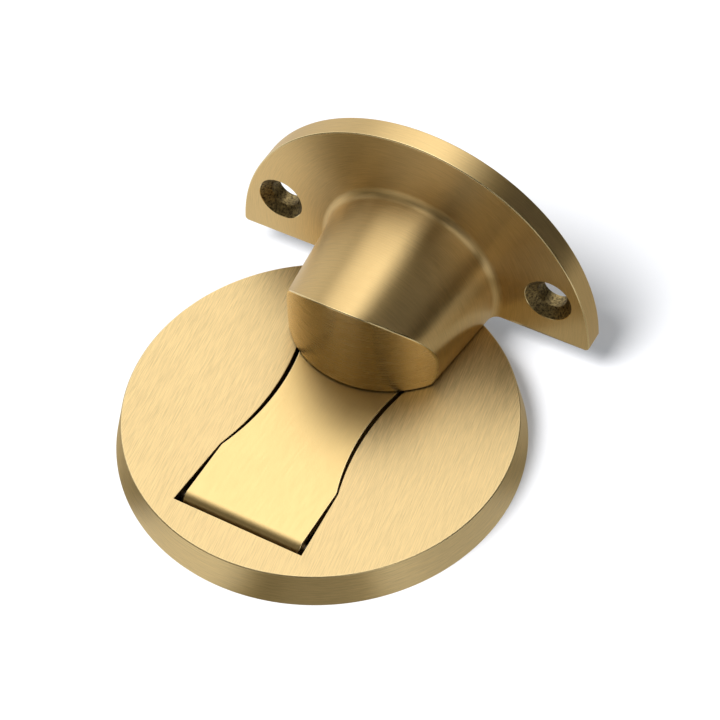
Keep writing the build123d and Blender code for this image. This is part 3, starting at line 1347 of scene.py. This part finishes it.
@dataclass
class Studio:
    """A pale floor, a white surround, a light tent that the metal mirrors, and a soft key lamp."""

    tent_r: float = 0.8
    tent_dark: float = 0.02
    step_deg: float = 3.0
    floor_colour: str = "E6E6E8"
    floor_dark: float = 0.26
    key_azimuth: float = -147.0
    key_elevation: float = 54.0
    key_angle: float = 28.0
    key_power: float = 3.8
    shade_light: float = 0.3
    shade_tint: tuple[float, float, float] = (0.86, 0.93, 1.0)
    floor_lift: float = 0.16
    neutral_level: float = 0.6
    dim_tint: tuple[float, float, float] = (1.0, 0.86, 0.5)
    floor_rings: tuple[float, ...] = (0.0, 0.02, 0.03, 0.05, 0.1, 0.3, 1.0, 3.0)
    tent_windows: tuple[SoftWindow, ...] = (
        SoftWindow(-33, 70, 14, 10, 74, 46, 2.2),
        SoftWindow(-50, 15, 32, 12, 33, 35, 0.95),
        SoftWindow(-155, 14, 10, 14, 22, 20, 0.42),
        SoftWindow(-100, 70, 15, 6, 35, 16, 0.3),
        SoftWindow(118, 40, 8, 14, 12, 22, 1.15),
        SoftWindow(0, 90, 180, 5, 1, 18, 1.4),
    )
    floor_windows: tuple[SoftWindow, ...] = (
        SoftWindow(-55, 0, 22, 90, 35, 1, 0.84),
        SoftWindow(-165, 0, 10, 90, 18, 1, 0.95),
        SoftWindow(108, 0, 16, 90, 20, 1, 0.68),
        SoftWindow(30, 0, 20, 90, 25, 1, 0.42),
        SoftWindow(149, 0, 8, 90, 10, 1, 0.36),
    )

    def build(self) -> None:
        """Build the floor, the tent, the lamp and the surround."""
        self._floor()
        self._tent()
        self._key_lamp()
        self._surround()

    def _turns(self) -> list[float]:
        """Give the directions round the object that the sheets have points in."""
        return [i * self.step_deg for i in range(int(360 / self.step_deg))]

    def _dome(self, name: str, rings: list[Flat], levels: list[list[float]]) -> bpy.types.Object:
        """Make a round sheet from rings, with a brightness at each point.

        Args:
            name: The sheet's name.
            rings: For each ring its radius and its height.
            levels: For each ring its brightness round the object.

        Returns:
            The sheet.
        """
        columns = len(levels[0])
        places = []
        for radius, height in rings:
            places += [(radius * math.sin(a), radius * math.cos(a), height) for a in full_turn(columns)]
        faces = []
        for low in range(0, (len(rings) - 1) * columns, columns):
            for c in range(columns):
                d = (c + 1) % columns
                faces.append((low + c, low + columns + c, low + columns + d, low + d))
        mesh = bpy.data.meshes.new(name)
        mesh.from_pydata(places, [], faces)
        attribute = mesh.attributes.new("level", "FLOAT", "POINT")
        attribute.data.foreach_set("value", [v for ring in levels for v in ring])
        return add_object(name, mesh)

    def _tent(self) -> bpy.types.Object:
        """Make the light tent, a dome that only glossy reflections see.

        Returns:
            The tent.
        """
        rises = [i * self.step_deg for i in range(int(90 / self.step_deg) + 1)]
        rings = []
        for e in map(math.radians, rises):
            rings.append((self.tent_r * max(math.cos(e), NEAR), self.tent_r * math.sin(e)))
        levels = [[brightest(self.tent_windows, self.tent_dark, a, e) for a in self._turns()] for e in rises]
        tent = self._dome("light_tent", rings, levels)
        material, tree, out = blank_material("tent_cloth")
        tree.links.new(self._mirrored(tree), out.inputs["Surface"])
        material.cycles.emission_sampling = "NONE"
        tent.data.materials.append(material)
        tent.visible_camera = False
        tent.visible_diffuse = False
        tent.visible_shadow = False
        tent.visible_transmission = False
        return tent

    def _floor(self) -> bpy.types.Object:
        """Make the pale floor, which keeps the shadow and is white to the camera. In the metal it glows with
        painted light, brighter in some directions round the object than in others.

        Returns:
            The floor.
        """
        level = [brightest(self.floor_windows, self.floor_dark, a, 0.0) for a in self._turns()]
        rings = [(max(r, NEAR), 0.0) for r in self.floor_rings]
        floor = self._dome("floor", rings, [level] * len(rings))
        material, tree, out = blank_material("pale_floor")
        rays = add_node(tree, "ShaderNodeLightPath").outputs
        seen = self._either(tree, rays["Is Camera Ray"], rays["Is Transmission Ray"])
        lift = add_node(
            tree, "ShaderNodeMath", {0: seen, 1: self.floor_lift}, operation="MULTIPLY"
        ).outputs[0]
        glow = add_node(tree, "ShaderNodeEmission", {"Strength": lift}).outputs[0]
        paper = add_node(tree, "ShaderNodeBsdfDiffuse", {"Color": linear(self.floor_colour)}).outputs[0]
        both = add_node(tree, "ShaderNodeAddShader", {0: paper, 1: glow}).outputs[0]
        mixed = add_node(
            tree, "ShaderNodeMixShader", {0: rays["Is Glossy Ray"], 1: both, 2: self._mirrored(tree)}
        ).outputs[0]
        tree.links.new(mixed, out.inputs["Surface"])
        material.cycles.emission_sampling = "NONE"
        floor.data.materials.append(material)
        return floor

    def _either(self, tree: Tree, *kinds: Socket) -> Socket:
        """Say whether a ray is of one of some kinds.

        Args:
            tree: The node tree.
            kinds: For each kind, the socket that is one for its rays.

        Returns:
            The socket that is one for a ray of any of them.
        """
        seen = kinds[0]
        for kind in kinds[1:]:
            seen = add_node(tree, "ShaderNodeMath", {0: seen, 1: kind}, operation="MAXIMUM").outputs[0]
        return seen

    def _mirrored(self, tree: Tree) -> Socket:
        """Make the light that the metal mirrors: neutral where it is bright and warm where it is dim.

        Args:
            tree: The material's node tree.

        Returns:
            The emission, as strong as the sheet's own level.
        """
        level = add_node(tree, "ShaderNodeAttribute", attribute_name="level").outputs["Fac"]
        bright = add_node(
            tree, "ShaderNodeMapRange", {"Value": level, "From Max": self.neutral_level}
        ).outputs[0]
        tint = add_node(
            tree,
            "ShaderNodeMix",
            {"Factor": bright, 6: (*self.dim_tint, 1.0), 7: (1.0, 1.0, 1.0, 1.0)},
            data_type="RGBA",
        ).outputs[2]
        return add_node(tree, "ShaderNodeEmission", {"Color": tint, "Strength": level}).outputs[0]

    def _key_lamp(self) -> None:
        """Add the soft key lamp, as even as a large window far away."""
        a, e = math.radians(self.key_azimuth), math.radians(self.key_elevation)
        away = Vector((math.sin(a) * math.cos(e), math.cos(a) * math.cos(e), math.sin(e)))
        data = bpy.data.lights.new("key_lamp", "SUN")
        data.angle = math.radians(self.key_angle)
        data.energy = self.key_power
        lamp = add_object("key_lamp", data)
        lamp.location = away
        lamp.rotation_mode = "QUATERNION"
        lamp.rotation_quaternion = away.to_track_quat("Z", "Y")
        lamp.visible_glossy = False

    def _surround(self) -> None:
        """Set the surround: white where it is seen, and an even soft light on the floor."""
        world = bpy.data.worlds.new("surround")
        bpy.context.scene.world = world
        world.use_nodes = True
        tree = world.node_tree
        tree.nodes.clear()
        rays = add_node(tree, "ShaderNodeLightPath").outputs
        seen = self._either(tree, rays["Is Camera Ray"], rays["Is Glossy Ray"], rays["Is Transmission Ray"])
        colour = add_node(
            tree,
            "ShaderNodeMix",
            {
                "Factor": seen,
                6: (*[self.shade_light * part for part in self.shade_tint], 1.0),
                7: (1.0, 1.0, 1.0, 1.0),
            },
            data_type="RGBA",
        ).outputs[2]
        sky = add_node(tree, "ShaderNodeBackground", {"Color": colour}).outputs[0]
        out = add_node(tree, "ShaderNodeOutputWorld")
        tree.links.new(sky, out.inputs["Surface"])


@dataclass
class PhotoCamera:
    """The camera at the photograph's place, with its frame taken as 720 by 720 pixels."""

    frame_px: float = 720.0
    focal_px: float = 2017.3
    azimuth: float = 31.19
    elevation: float = 49.80
    roll: float = -2.70
    distance: float = 235.3 * MM
    origin_px: Flat = (321.9, 431.9)
    sensor_mm: float = 36.0
    clip: Flat = (0.01, 20.0)

    def build(self) -> None:
        """Place the camera so that the row's origin falls on its pixel."""
        a, e, turn = map(math.radians, (self.azimuth, self.elevation, self.roll))
        back = Vector((math.sin(a) * math.cos(e), -math.cos(a) * math.cos(e), math.sin(e)))
        side = Vector((math.cos(a), math.sin(a), 0.0))
        over = back.cross(side)
        right = math.cos(turn) * side + math.sin(turn) * over
        up = math.cos(turn) * over - math.sin(turn) * side
        off_x = (self.origin_px[0] - self.frame_px / 2) / self.focal_px * self.distance
        off_y = (self.origin_px[1] - self.frame_px / 2) / self.focal_px * self.distance
        place = back * self.distance - right * off_x + up * off_y
        data = bpy.data.cameras.new("photo_camera")
        data.sensor_width = self.sensor_mm
        data.lens = self.focal_px * self.sensor_mm / self.frame_px
        data.clip_start, data.clip_end = self.clip
        camera = add_object("photo_camera", data)
        camera.matrix_world = Matrix.Translation(place) @ Matrix((right, up, back)).transposed().to_4x4()
        bpy.context.scene.camera = camera


def dress_hidden_solids() -> None:
    """Give the solids that stay as they are their finishes."""
    finishes = {
        # Zinc plated sheet: pale grey with a soft sheen.
        "base_plate": Grainy("zinc_sheet", "8F9193", "B4B6B8", 0.45),
        # Dense foam: black, with no gloss at all.
        "adhesive_pad": Grainy("pad_foam", "171719", "2A2A2D", 0.9, depth=0.03 * MM, metallic=0.0),
        # Nickel plate: bright, smooth and slightly warm.
        "magnet": Grainy("nickel_plate", "B8B6B0", "CFCDC8", 0.22),
    }
    for node, finish in finishes.items():
        frame["nodes"][node].data.materials[0] = finish.material()
        LOG.info("%s wears %s", node, finish.name)


def main() -> None:
    """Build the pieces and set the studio."""
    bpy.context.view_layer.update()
    PhotoCamera().build()
    Studio().build()
    lathe = Lathe()
    FloorPiece(lathe).build()
    Tongue().build()
    DoorPiece().build()
    dress_hidden_solids()
    bpy.context.scene.view_settings.view_transform = "Standard"
    bpy.context.view_layer.update()


if __name__ == "__main__":
    logging.basicConfig(level=logging.INFO, format="%(message)s")
    main()
